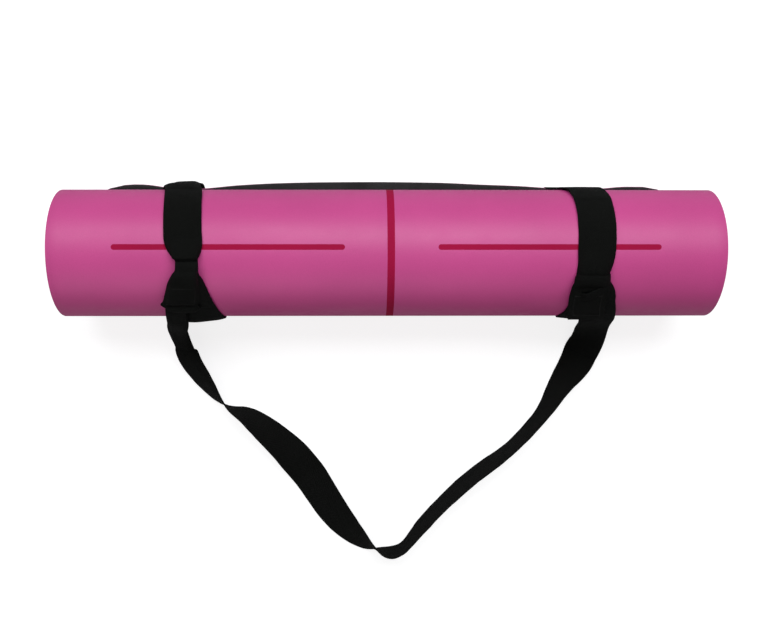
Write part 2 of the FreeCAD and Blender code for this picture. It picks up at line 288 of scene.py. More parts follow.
def set_inputs(tree, node, inputs):
    """Gives a node's inputs their values, or links them to the sockets that feed them."""
    for label, value in inputs.items():
        if isinstance(value, bpy.types.NodeSocket):
            tree.links.new(value, node.inputs[label])
        else:
            node.inputs[label].default_value = value
    return node


def new_material(name):
    """A node material, with its tree and its Principled shader."""
    material = bpy.data.materials.new(name)
    material.use_nodes = True
    return material, material.node_tree, material.node_tree.nodes["Principled BSDF"]


def new_group(name, inputs, outputs):
    """A shader node group with named sockets: the group, what it is given, and its output node."""
    group = bpy.data.node_groups.new(name, "ShaderNodeTree")
    for label, kind, value in inputs:
        socket = group.interface.new_socket(label, in_out="INPUT", socket_type=f"NodeSocket{kind}")
        if value is not None:
            socket.default_value = value
    for label, kind in outputs:
        group.interface.new_socket(label, in_out="OUTPUT", socket_type=f"NodeSocket{kind}")
    return group, group.nodes.new("NodeGroupInput").outputs, group.nodes.new("NodeGroupOutput")


def math_node(tree, operation, *values):
    """A Math node whose inputs are sockets or numbers."""
    node = tree.nodes.new("ShaderNodeMath")
    node.operation = operation
    return set_inputs(tree, node, dict(enumerate(values))).outputs[0]


def scaled(tree, color, level):
    """A colour made lighter or darker by a level."""
    node = tree.nodes.new("ShaderNodeVectorMath")
    node.operation = "SCALE"
    return set_inputs(tree, node, {0: color, "Scale": level}).outputs["Vector"]


def noise_node(tree, vector, scale, detail=3.0, roughness=0.55):
    """A noise texture in a tree, read at a vector."""
    inputs = {"Vector": vector, "Scale": scale, "Detail": detail, "Roughness": roughness}
    return set_inputs(tree, tree.nodes.new("ShaderNodeTexNoise"), inputs).outputs["Fac"]


def cells_node(tree, vector, scale):
    """The distance to the nearest of many small cells, read at a vector."""
    node = tree.nodes.new("ShaderNodeTexVoronoi")
    return set_inputs(tree, node, {"Vector": vector, "Scale": scale}).outputs["Distance"]


def spread(tree, value, low, high, from_low=0.3, from_high=0.7):
    """Maps a value from one range to another."""
    inputs = {"Value": value, "From Min": from_low, "From Max": from_high,
              "To Min": low, "To Max": high}
    return set_inputs(tree, tree.nodes.new("ShaderNodeMapRange"), inputs).outputs["Result"]


def use_group(tree, name, make, inputs):
    """Places a shader node group, made the first time that it is asked for: its outputs."""
    node = tree.nodes.new("ShaderNodeGroup")
    node.node_tree = bpy.data.node_groups.get(name) or make(name)
    return set_inputs(tree, node, inputs).outputs


def tint_group(name):
    """Uneven colour: cloudy patches and a fine speckle that lighten and darken a base colour."""
    group, given, out = new_group(
        name,
        [("Vector", "Vector", None), ("Colour", "Color", (1, 1, 1, 1)),
         ("Patches", "Float", 0.05), ("Speckle", "Float", 0.05)],
        [("Colour", "Color")])
    patches = spread(group, noise_node(group, given["Vector"], 9.0, 2.0), -1, 1)
    speckle = spread(group, noise_node(group, given["Vector"], 900.0, 2.0), -1, 1)
    cloudy = math_node(group, "MULTIPLY", patches, given["Patches"])
    grainy = math_node(group, "MULTIPLY", speckle, given["Speckle"])
    level = math_node(group, "ADD", math_node(group, "ADD", cloudy, grainy), 1.0)
    set_inputs(group, out, {"Colour": scaled(group, given["Colour"], level)})
    return group


def weave_group(name):
    """Woven webbing read from its own map in metres: crossing threads and a selvedge rib."""
    group, given, out = new_group(
        name,
        [("Map", "Vector", None), ("Pitch", "Float", 0.0016), ("Width", "Float", 0.038)],
        [("Height", "Float"), ("Gaps", "Float")])

    def calc(operation, *values):
        return math_node(group, operation, *values)

    parts = set_inputs(group, group.nodes.new("ShaderNodeSeparateXYZ"), {0: given["Map"]}).outputs
    across = calc("DIVIDE", parts["X"], given["Pitch"])
    along = calc("DIVIDE", parts["Y"], given["Pitch"])
    # the twill runs the other way on each side of the strap's middle
    half = calc("MULTIPLY", given["Width"], 0.5)
    side = calc("ABSOLUTE", calc("SUBTRACT", parts["X"], half))
    chevron = calc("MULTIPLY", calc("DIVIDE", side, given["Pitch"]), 0.5)
    turns = 2 * math.pi
    weft = calc("SINE", calc("MULTIPLY", calc("ADD", along, chevron), turns))
    warp = calc("SINE", calc("MULTIPLY", across, turns * 1.5))
    crossed = calc("MULTIPLY", weft, calc("ADD", warp, 0.6))
    rough = spread(group, noise_node(group, given["Map"], 2600.0, 2.0), -0.35, 0.35)
    height = calc("ADD", calc("MULTIPLY", crossed, 0.5), rough)
    rib = spread(group, calc("DIVIDE", side, half), 0.0, 0.9, 0.86, 0.93)
    # Gaps runs from 0 in the weave's gaps to 1 on its raised crossings; the webbing paints shade
    # and light into its colour by it
    set_inputs(group, out, {
        "Height": calc("ADD", height, rib),
        "Gaps": spread(group, crossed, 0.0, 1.0, -0.9, 0.9),
    })
    return group


def coordinates(tree, kind="Object"):
    """The piece's own coordinates: Object, or UV for what follows the surface."""
    return tree.nodes.new("ShaderNodeTexCoord").outputs[kind]


def tinted(tree, place, color, patches, speckle):
    """A colour made uneven by the tint group."""
    inputs = {"Vector": place, "Colour": color, "Patches": patches, "Speckle": speckle}
    return use_group(tree, "Uneven Colour", tint_group, inputs)["Colour"]


def bumped(tree, height, distance):
    """The normal of a surface that stands up by its height times a distance."""
    inputs = {"Strength": 1.0, "Distance": distance, "Height": height}
    return set_inputs(tree, tree.nodes.new("ShaderNodeBump"), inputs).outputs["Normal"]


def polyurethane(name, color, patches=0.04, shine=0.5, dullness=0.0):
    """The smooth, slightly grippy face: satin, with a fine grain and faint handling marks."""
    material, tree, shader = new_material(name)
    place = coordinates(tree)
    marks = noise_node(tree, place, 22.0, 5.0, 0.65)
    grain = noise_node(tree, place, 2400.0, 2.0)
    pores = math_node(tree, "MULTIPLY", cells_node(tree, place, 1100.0), 0.6)
    set_inputs(tree, shader, {
        "Base Color": tinted(tree, place, color, patches, 0.03),
        "Roughness": spread(tree, marks, 0.43 + dullness, 0.53 + dullness),
        "Normal": bumped(tree, math_node(tree, "ADD", grain, pores), 0.00006),
        "Specular IOR Level": shine,
    })
    return material


def rubber(name, color):
    """Foamed natural rubber: matt black, with fine cells and a pale bloom in places."""
    material, tree, shader = new_material(name)
    place = coordinates(tree)
    cells = math_node(
        tree, "ADD", cells_node(tree, place, 700.0), noise_node(tree, place, 260.0))
    set_inputs(tree, shader, {
        "Base Color": tinted(tree, place, color, 0.25, 0.3),
        "Roughness": spread(tree, noise_node(tree, place, 35.0), 0.62, 0.82),
        "Normal": bumped(tree, cells, 0.0002),
    })
    return material


def webbing(name, color, pitch):
    """Black woven strap: a chevron twill with painted shade darkening its gaps and painted light on
    its raised threads, rougher in its gaps, with raised selvedges.
    """
    material, tree, shader = new_material(name)
    inputs = {"Map": coordinates(tree, "UV"), "Pitch": pitch, "Width": STRAP_WIDTH}
    weave = use_group(tree, "Webbing Weave", weave_group, inputs)
    gaps, tint = weave["Gaps"], tinted(tree, coordinates(tree), color, 0.3, 0.4)
    set_inputs(tree, shader, {
        # painted shade: the base colour is darkened in the weave's gaps and lightened as painted
        # light on its raised crossings
        "Base Color": scaled(tree, tint, spread(tree, gaps, 0.45, 1.35, 0.0, 1.0)),
        "Roughness": spread(tree, gaps, 0.85, 0.66, 0.0, 1.0),
        "Normal": bumped(tree, weave["Height"], 0.00035),
        "Specular IOR Level": 0.10,
    })
    return material


THREAD_COLOR = (0.005, 0.005, 0.0046, 1.0)


def thread(name):
    """Polyester sewing thread, a little shinier than the webbing it is sewn into."""
    material, tree, shader = new_material(name)
    place = coordinates(tree)
    twist = noise_node(tree, place, 3000.0, 1.0)
    set_inputs(tree, shader, {
        "Base Color": tinted(tree, place, THREAD_COLOR, 0.2, 0.3),
        "Roughness": spread(tree, twist, 0.5, 0.7),
        "Normal": bumped(tree, twist, 0.0001),
        "Specular IOR Level": 0.2,
    })
    return material


def get_material(name, make, *values):
    """A material by name, made the first time it is asked for."""
    return bpy.data.materials.get(name) or make(name, *values)


# ---- the mat ----

def wraps():
    """The outer face as arcs (centre y, centre z, radius, from, to), from the free end inwards."""
    mat = mat_settings()
    thick = TOP_THICK + mat.base_thick
    pitch = thick + mat.wrap_gap
    tight_angle = 2 * math.degrees(math.atan(FLAT_RISE / mat.flat_reach))
    tight_radius = ROLL_RADIUS - mat.flat_reach / math.sin(math.radians(tight_angle))
    tight = polar(HALF_TURN - tight_angle, ROLL_RADIUS - tight_radius)
    arcs = [
        (tight[0], tight[1], tight_radius, HALF_TURN, HALF_TURN - tight_angle),
        (0.0, ROLL_Z, ROLL_RADIUS, HALF_TURN - tight_angle, 0.0),
    ]
    left_over = mat.length - (TAIL_END + mat.flat_reach)
    left_over -= sum(math.radians(a[3] - a[4]) * (a[2] - thick / 2) for a in arcs)
    radius, rise, angle = ROLL_RADIUS - pitch / 2, pitch / 2, 0.0
    while left_over > 0:
        sweep = min(HALF_TURN, math.degrees(left_over / (radius - thick / 2)))
        arcs.append((0.0, ROLL_Z + rise, radius, angle, angle - sweep))
        left_over -= math.radians(sweep) * (radius - thick / 2)
        angle -= HALF_TURN
        radius -= pitch / 2
        rise = pitch / 2 - rise
    return arcs


TAIL_ROWS = 30
PRESSED_SHARE = 0.8
FINE_STEP, COARSE_STEP = 0.0026, 0.0048
FINE_ARCS = 4
# How far the tail's edge comes out at places along the roll, both in millimetres: it lies flattest
# between the nooses and is drawn in and up where each noose holds it.
TAIL_EDGE = [
    (-340, 71.2), (-300, 74), (-275, 75.5), (-258, 74.2), (-243, 71.8), (-226, 70.2),
    (-208, 70.3), (-190, 71.8), (-165, 74.4), (-120, 77), (-70, 78.3), (-10, 78.7), (60, 77.8),
    (105, 75.7), (150, 73.9), (180, 71.8), (205, 70.2), (226, 70.2), (246, 71.4), (270, 73.2),
    (300, 73), (340, 69.8),
]


def sheet_rows():
    """Each row of the wound sheet past its tail: point, outward normal and distance along it."""
    rows, distance = [], 0.0
    for number, (center_y, center_z, radius, start, end) in enumerate(wraps()):
        step = FINE_STEP if number < FINE_ARCS else COARSE_STEP
        run = math.radians(start - end) * radius
        count = max(2, round(run / step))
        for part in range(1, count + 1):
            angle = start + (end - start) * part / count
            y, z = polar(angle, radius, (center_y, center_z))
            rows.append((y, z, *outward(angle), distance + run * part / count))
        distance += run
    return np.array(rows)


SHEET_COLUMNS = 56
OUTER_TURN = 2 * math.pi * ROLL_RADIUS
# How far the inner wraps wander off their places, outwards and along the roll, and the length of
# those waves.
UNEVEN, UNEVEN_RUN = 0.00028, 0.33
SIDE_SHIFT, SIDE_RUN = 0.0016, 0.9
# The number of turns after which each begins.
UNEVEN_FROM, SHIFT_FROM = 1.1, 0.6
TINY = 1e-8
FACE_EDGE, BASE_EDGE = 0.00025, 0.0005


def unevenness(travelled):
    """How far the wound sheet lies off its wraps: nothing on the outermost turn."""
    looseness = np.clip((travelled - UNEVEN_FROM * OUTER_TURN) / 0.2, 0, 1)
    return UNEVEN * soft_waves(travelled, 11, UNEVEN_RUN) * looseness


def curl_for(share):
    """The angle whose sine is a share of it, in radians, from the first terms of the series."""
    return np.sqrt(np.maximum(10 - np.sqrt(np.maximum(100 - 120 * (1 - share), 0)), TINY))


def wound_sheet(name, depth):
    """The whole sheet at a depth under its outer face, wound, with its tail and corners."""
    mat = mat_settings()
    rows = sheet_rows()
    count = TAIL_ROWS + len(rows)
    piece, across, along = add_grid(name, SHEET_COLUMNS, count)
    row = np.rint(along * count).astype(int)
    places, reaches = (np.array(column) * MM for column in zip(*TAIL_EDGE))
    half = (TOP_HIGH.x - TOP_LOW.x) / 2
    # the corners are drawn in on the rows near the free end
    tail_length = mat.tail_reach + mat.flat_reach
    down_tail = np.minimum(row, TAIL_ROWS) / TAIL_ROWS
    inside = np.clip(mat.corner - down_tail * tail_length, 0, mat.corner)
    drawn_in = mat.corner - np.sqrt(mat.corner**2 - inside**2)
    x = (across * 2 - 1) * (half - drawn_in)
    # where its edge is held back, the tail is partly pressed in and partly curls up
    reach = smooth_between(places, reaches, x) + mat.flat_reach
    tail_length -= (tail_length - reach) * PRESSED_SHARE
    out = tail_length - down_tail * tail_length
    bend = curl_for(np.clip(reach / tail_length, 0.5, 1.0)) / tail_length
    tail_y = -mat.flat_reach + np.sin(bend * out) / bend
    tail_z = UNDERSIDE + (1 - np.cos(bend * out)) / bend
    tail_y, tail_z = tail_y - depth * np.sin(bend * out), tail_z + depth * np.cos(bend * out)
    # the rest follows the wraps, a little uneven inside where no one pressed them even
    wound = rows[np.clip(row - TAIL_ROWS - 1, 0, len(rows) - 1)]
    travelled = wound[:, 4]
    level = unevenness(travelled) - depth
    on_tail = row <= TAIL_ROWS
    y = np.where(on_tail, tail_y, wound[:, 0] + wound[:, 2] * level)
    z = np.where(on_tail, tail_z, wound[:, 1] + wound[:, 3] * level)
    shift = SIDE_SHIFT * soft_waves(travelled, 5, SIDE_RUN)
    shift *= np.clip(travelled / OUTER_TURN - SHIFT_FROM, 0, 1)
    x = x + np.where(on_tail, 0, shift)
    place_vertices(piece, x, y, z)
    scale_uv(piece, 2 * half, mat.length)
    return piece


def finish_piece(piece, material, node, body=None):
    """Gives a piece its material, hides the part that it stands for, and gives it its body if one
    is named.
    """
    piece.data.materials.clear()
    piece.data.materials.append(material)
    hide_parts(node)
    if body:
        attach(piece, body)


class MAT_OT_layers(bpy.types.Operator):
    """Winds the two layers of the mat"""

    bl_idname = "rolled_mat.layers"
    bl_label = "Mat Layers"

    def execute(self, context):
        mat = mat_settings()
        face = wound_sheet("mat_face", 0.0)
        thicken(face, TOP_THICK, -1, FACE_EDGE)
        material = get_material("Polyurethane Face", polyurethane, mat.face_color[:])
        finish_piece(face, material, "mat_top_layer", "mat")
        base = wound_sheet("mat_underside", TOP_THICK)
        thicken(base, mat.base_thick, -1, BASE_EDGE)
        material = get_material("Natural Rubber", rubber, mat.rubber_color[:])
        finish_piece(base, material, "mat_base_layer", "mat")
        return {"FINISHED"}


class MAT_OT_lines(bpy.types.Operator):
    """Lays the alignment lines into the mat's face"""

    bl_idname = "rolled_mat.lines"
    bl_label = "Alignment Lines"

    proud = 0.00004
    inlay = 0.00018

    def middle_line(self):
        """The line along the middle of the sheet, from end to end."""
        rows = sheet_rows()
        piece, across, along = add_grid("middle_line", 4, len(rows) - 1)
        row = rows[np.rint(along * (len(rows) - 1)).astype(int)]
        level = unevenness(row[:, 4]) + self.proud
        x = LINE_LOW.x + across * (LINE_HIGH.x - LINE_LOW.x)
        place_vertices(piece, x, row[:, 0] + row[:, 2] * level, row[:, 1] + row[:, 3] * level)
        return piece

    def cross_line(self, side):
        """A straight line with round ends, on the wrap that shows at the crest."""
        low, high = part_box(f"cross_line_{side}")
        center_y, center_z, radius = wraps()[2][:3]
        piece, across, along = add_grid(f"{side}_cross_line", columns=96, rows=6)
        half = (high.y - low.y) / 2
        reach = (high.x - low.x) / 2
        # rows are packed towards the ends, so that the round ends stay round
        x = reach * np.sin((across - 0.5) * math.pi)
        past = np.clip(np.abs(x) - (reach - half), 0, half)
        width = np.sqrt(np.maximum(half**2 - past**2, 1e-12))
        y = (low.y + high.y) / 2 + (along * 2 - 1) * width
        z = center_z + np.sqrt((radius + self.proud) ** 2 - (y - center_y) ** 2)
        place_vertices(piece, x + (low.x + high.x) / 2, y, z)
        return piece

    def execute(self, context):
        color = mat_settings().line_color[:]
        material = get_material("Line Ink", polyurethane, color, 0.08, 0.1, 0.3)
        lines = [(self.middle_line(), "center_line")]
        lines += [(self.cross_line(side), f"cross_line_{side}") for side in ("left", "right")]
        for piece, node in lines:
            thicken(piece, self.inlay, -1)
            check_outward(piece)
            finish_piece(piece, material, node, "mat")
        return {"FINISHED"}


# ---- webbing ----

FOLD_ANGLES = np.linspace(0.0, 1.15 * math.pi, 60)
FOLD_START = 0.30


def fold_sections(samples):
    """Cross-sections of half a strap from flat to folded: how far out and how far up it goes."""
    across = np.linspace(0, 1, samples)
    ease = np.clip((across - FOLD_START) / (1 - FOLD_START), 0, 1)
    ease = ease * ease * (3 - 2 * ease)
    turn = FOLD_ANGLES[:, None] * ease[None, :]
    none_yet, step = np.zeros((len(turn), 1)), across[1]
    x, drop = (
        np.concatenate([none_yet, np.cumsum(share, axis=1)[:, :-1]], axis=1)
        for share in (np.cos(turn), np.sin(turn))
    )
    return x * step, (drop.max(axis=1, keepdims=True) - drop) * step


SECTION_OUT, SECTION_RISE = fold_sections(samples=41)
SECTION_SHOWN = SECTION_OUT.max(axis=1)


def fold_profile(across, shown):
    """Where a point across a strap, from -1 to 1, goes when a share of the strap's width shows.

    Returns how far out it is and how far over the folded strap's lowest level, both in half widths.
    """
    place = np.interp(-shown, -SECTION_SHOWN, np.arange(len(SECTION_SHOWN)))
    low = np.clip(np.floor(place).astype(int), 0, len(SECTION_SHOWN) - 2)
    part = place - low
    last = SECTION_OUT.shape[1] - 1
    left = np.clip(np.floor(np.abs(across) * last).astype(int), 0, last - 1)
    rest = np.abs(across) * last - left

    def read(table):
        near = table[low, left] * (1 - rest) + table[low, left + 1] * rest
        far = table[low + 1, left] * (1 - rest) + table[low + 1, left + 1] * rest
        return near * (1 - part) + far * part

    return np.sign(across) * read(SECTION_OUT), read(SECTION_RISE)


# How far wear leaves the webbing off its smooth run, and the length of those waves: cupping and
# creases in metres, and threads that pull its edges in, as a share of its width.
CUPPING, CUPPING_RUN = 0.00045, 0.21
CREASE, CREASE_RUN = 0.00035, 0.045
EDGE_PULL, EDGE_RUN = 0.006, 0.03
WEBBING_EDGE = 0.0005


def webbing_cloth():
    """The webbing that every strap piece is made of."""
    strap = strap_settings()
    return get_material("Webbing", webbing, strap.color[:], strap.thread_pitch)


def make_ribbon(name, stations, seed, columns=14):
    """A length of webbing along stations, each (point, across, face, share of width that shows).

    The folded edges turn away from the face. Returns the piece, with its own map in metres, and
    its length.
    """
    points, acrosses, faces, shown = (np.array(column) for column in zip(*stations))
    piece, over, along = add_grid(name, columns, len(points) - 1)
    row = np.rint(along * (len(points) - 1)).astype(int)
    out, rise = fold_profile(over * 2 - 1, shown[row])
    half = STRAP_WIDTH / 2
    lengths = np.concatenate([[0], np.cumsum(np.linalg.norm(np.diff(points, axis=0), axis=1))])
    travelled = lengths[row]
    cup = CUPPING * (2 * over - 1) ** 2 * soft_waves(travelled, seed, CUPPING_RUN)
    crease = CREASE * soft_waves(travelled + 0.02 * over, seed + 40, CREASE_RUN)
    edge = 1 + EDGE_PULL * soft_waves(travelled, seed + 80, EDGE_RUN)
    place = (
        points[row]
        + acrosses[row] * (out * half * edge)[:, None]
        + faces[row] * (rise * half + cup + crease)[:, None]
    )
    place_vertices(piece, *place.T)
    scale_uv(piece, STRAP_WIDTH, float(lengths[-1]))
    thicken(piece, strap_settings().thickness, 0, WEBBING_EDGE)
    check_outward(piece)
    return piece, float(lengths[-1])


WEBBING_STEP, BEND_STEP = 0.003, 0.0015


def arc_stations(center, radius, start, end, step=WEBBING_STEP):
    """Points and outward normals along an arc, leaving out its first point."""
    count = max(1, round(abs(math.radians(end - start)) * radius / step))
    for part in range(1, count + 1):
        angle = start + (end - start) * part / count
        yield (*polar(angle, radius, center), *outward(angle))


def line_stations(start, end, normal):
    """Points along a straight stretch, leaving out its first point."""
    count = max(1, round(math.dist(start, end) / WEBBING_STEP))
    for part in range(1, count + 1):
        yield (*(here + (there - here) * part / count for here, there in zip(start, end)), *normal)


def noose_path(reach, over_end, under_end):
    """The middle of a noose's webbing once round the roll, with outward normals.

    It runs from over_end over the crest, round the tail, under the roll and up to under_end.
    """
    mat, strap = mat_settings(), strap_settings()
    lift = strap.gap + strap.thickness / 2
    radius = ROLL_RADIUS + lift
    thick = TOP_THICK + mat.base_thick
    tail = (reach, UNDERSIDE + thick / 2)
    bend = thick / 2 + lift
    distance = math.hypot(tail[0], tail[1] - ROLL_Z)
    towards = math.degrees(math.atan2(-tail[0], tail[1] - ROLL_Z))
    leave = towards + math.degrees(math.acos((radius - bend) / distance))
    path = [(*polar(over_end, radius), *outward(over_end))]
    path += arc_stations((0.0, ROLL_Z), radius, over_end, leave)
    path += line_stations(path[-1][:2], polar(leave, bend, tail), outward(leave))
    path += arc_stations(tail, bend, leave, -HALF_TURN, BEND_STEP)
    tight_y, tight_z, tight_radius, start, end = wraps()[0]
    under = polar(start, tight_radius + lift, (tight_y, tight_z))
    path += line_stations(path[-1][:2], under, (0.0, -1.0))
    path += arc_stations((tight_y, tight_z), tight_radius + lift, start, end)
    path += arc_stations((0.0, ROLL_Z), radius, end, under_end)
    return np.array(path)


def turn_along(path):
    """How far round the roll each point of a noose's path is, falling past -180 without a jump."""
    turn = np.degrees(np.arctan2(-path[:, 0], path[:, 1] - ROLL_Z))
    return np.degrees(np.unwrap(np.radians(turn)))


# Each noose's shape: turn round the roll from the crest towards -Y, left and right edge from the
# noose's middle, and the lift of each edge off its path, in degrees and millimetres. It starts at
# the waist, slants on its way round, and comes up the front again under the eye.
NOOSE_SHAPES = {
    "left": [
        (22, -6.2, 12.2, 1, 1), (9, -5, 12.6, 0.6, 0.6), (4, -10.4, 15, 0.4, 0.4),
        (-1, -15.2, 17.2, 0.2, 0.2), (-7, -18.4, 18.5, 0.1, 0.1), (-17, -20.8, 18.4, 0, 0),
        (-30, -22, 17.6, 0, 0), (-45, -23.3, 16, 0, 0), (-61, -24.9, 13.6, 0, 0),
        (-80, -29, 8, 0, 0), (-98, -35.5, 0.6, -6.6, -4.4), (-112, -36.4, 0, -7.2, -4.4),
        (-130, -39, -3.6, -7, -4.6), (-134, -38, 0.3, -1.3, -1.3), (-142, -35.5, 2.8, 0, 0),
        (-180, -25.6, 12.6, 0, 0), (-230, -14.1, 24.1, 0.5, 0),
        (-256, -7.5, 30, 3, 0), (-280, -6, 31.6, 4.6, 0), (-292, -7.4, 30.4, 3.9, 0),
        (-310, -11.2, 26.4, 2.1, 0), (-325, -12, 21.6, 0.8, 0.1), (-337, -10.4, 16.8, 0.3, 0.1),
        (-345, -7.6, 13.2, 0.1, 0.1), (-351, -5.6, 12, 0.1, 0.1),
    ],
    "right": [
        (32, -20.8, 12, 0.8, 0.8), (19, -21, 11.2, 0.5, 0.5), (10, -20.4, 14.4, 0.2, 0.2),
        (0, -20.9, 16.6, 0, 0), (-12, -20.2, 17.7, 0, 0), (-30, -19.9, 18.4, 0, 0),
        (-48, -20, 18, 0, 0), (-66, -22.6, 15.6, 0, 0), (-85, -27.8, 10.4, -1.6, -1.8),
        (-112, -30.4, 7.8, -2.9, -3.3), (-180, -24.5, 13.5, 0, 0), (-230, -23, 15, 0.2, 0.2),
        (-262, -26, 12, 0.2, 1.4), (-280, -29, 9, 0, 2), (-300, -25.5, 12, 0.4, 1.2),
        (-320, -23.5, 12.5, 0.3, 0.3), (-340, -22, 11.4, 0.1, 0.1),
    ],
}
NOOSE_REACH = {"left": TAIL_END + 0.0002, "right": TAIL_END - 0.0048}


def noose_stations(side):
    """Stations of a noose, with its edges where its shape sets them."""
    shape = NOOSE_SHAPES[side]
    path = noose_path(NOOSE_REACH[side], shape[0][0], shape[-1][0] + 2 * HALF_TURN)
    turn = turn_along(path)
    angles, *edges = np.array(shape).T
    columns = [smooth_between(-angles, edge, -turn) * MM for edge in edges]
    stations = []
    for (y, z, out_y, out_z), left, right, left_lift, right_lift in zip(path, *columns):
        out = np.array([0.0, out_y, out_z])
        point = np.array([noose_x(side), y, z])
        left_edge = point + (left, 0, 0) + out * left_lift
        right_edge = point + (right, 0, 0) + out * right_lift
        across = unit(right_edge - left_edge)
        face = unit(out - across * out.dot(across))
        shown = min(math.dist(left_edge, right_edge) / STRAP_WIDTH, 1.0)
        stations.append(((left_edge + right_edge) / 2, across, face, shown))
    return stations


# Each eye's outer ply, the same way, from the waist down the front to where it tucks under.
EYE_SHAPES = {
    "left": [
        (7.5, -4.4, 12.8, 5.2), (11, -4.4, 13.1, 7.9), (17, -10.2, 13.8, 7.5),
        (25, -16, 14.2, 6.9), (36, -20.8, 13.8, 6.6), (41, -23.6, 13.2, 6.6),
        (44.5, -26.8, 11.2, 6.6), (48, -22.6, 12.8, 6),
    ],
    "right": [
        (17.5, -21.4, 11.6, 3.4), (21, -22, 11.6, 5.4), (28, -26, 12, 6),
        (37, -27, 11, 6), (47, -26.4, 11.6, 6.2), (57, -24, 14, 6.4),
        (66, -21.6, 16.4, 6.8),
    ],
}
EYE_ROWS = 26
EYE_TUCK = {"left": 0.0014, "right": 0.0012}
TUCK_ROWS = 8
RETURN_ROWS, RETURN_STEP = 4, 0.0025


def eye_stations(side):
    """Stations of an eye's outer ply, ending in a small roll where it tucks under."""
    shape = EYE_SHAPES[side]
    places = [row[0] for row in shape]
    angles = np.linspace(places[0], places[-1], EYE_ROWS)
    left, right, lift = (
        smooth_between(places, column, angles) * MM for column in list(zip(*shape))[1:])
    shown = np.clip((right - left) / STRAP_WIDTH, 0.4, 1.0)
    strap = strap_settings()
    stations = []
    for number, angle in enumerate(angles):
        y, z = polar(angle, ROLL_RADIUS + strap.gap + strap.thickness / 2 + lift[number])
        out = np.array([0.0, *outward(angle)])
        middle = noose_x(side) + (left[number] + right[number]) / 2
        stations.append((np.array([middle, y, z]), np.array([1.0, 0.0, 0.0]), out, shown[number]))
    # the tuck: half a turn inwards about a small radius, then back up under the ply
    point, across, out, share = stations[-1]
    down = np.array([0.0, *outward(places[-1] + 90)])
    radius = EYE_TUCK[side]
    center = point - out * radius
    for part in range(1, TUCK_ROWS + 1):
        turn = math.pi * part / TUCK_ROWS
        facing = out * math.cos(turn) + down * math.sin(turn)
        stations.append((center + facing * radius, across, facing, share))
    back_start = stations[-1][0]
    for part in range(1, RETURN_ROWS + 1):
        stations.append((back_start - down * RETURN_STEP * part, across, -out, share))
    return stations


# The box seam: its end rows in degrees from the crest, its edge rows as a share of half the width
# that shows, and the distance between stitches in stitch lengths.
STITCH_ROWS = {"left": (26.0, 42.0), "right": (36.0, 58.0)}
SEAM_EDGE = 0.72
STITCH_SPACING = 1.25
STITCH_LIFT = 0.0001
STITCH_WIDTH, STITCH_HEIGHT, STITCH_ARCH = 0.0008, 0.0006, 0.0005


def surface_on(stations, row, across, lift):
    """A point over a ribbon's face at a row, with its run, its side and its face there."""
    low = min(int(row), len(stations) - 2)
    part = row - low
    here, there = stations[low:low + 2]
    point, side, face, shown = (a * (1 - part) + b * part for a, b in zip(here, there))
    out, rise = fold_profile(np.array([across]), np.array([shown]))
    half, face = STRAP_WIDTH / 2, unit(face)
    point = point + side * out[0] * half + face * (rise[0] * half + lift)
    return point, unit(there[0] - here[0]), side, face


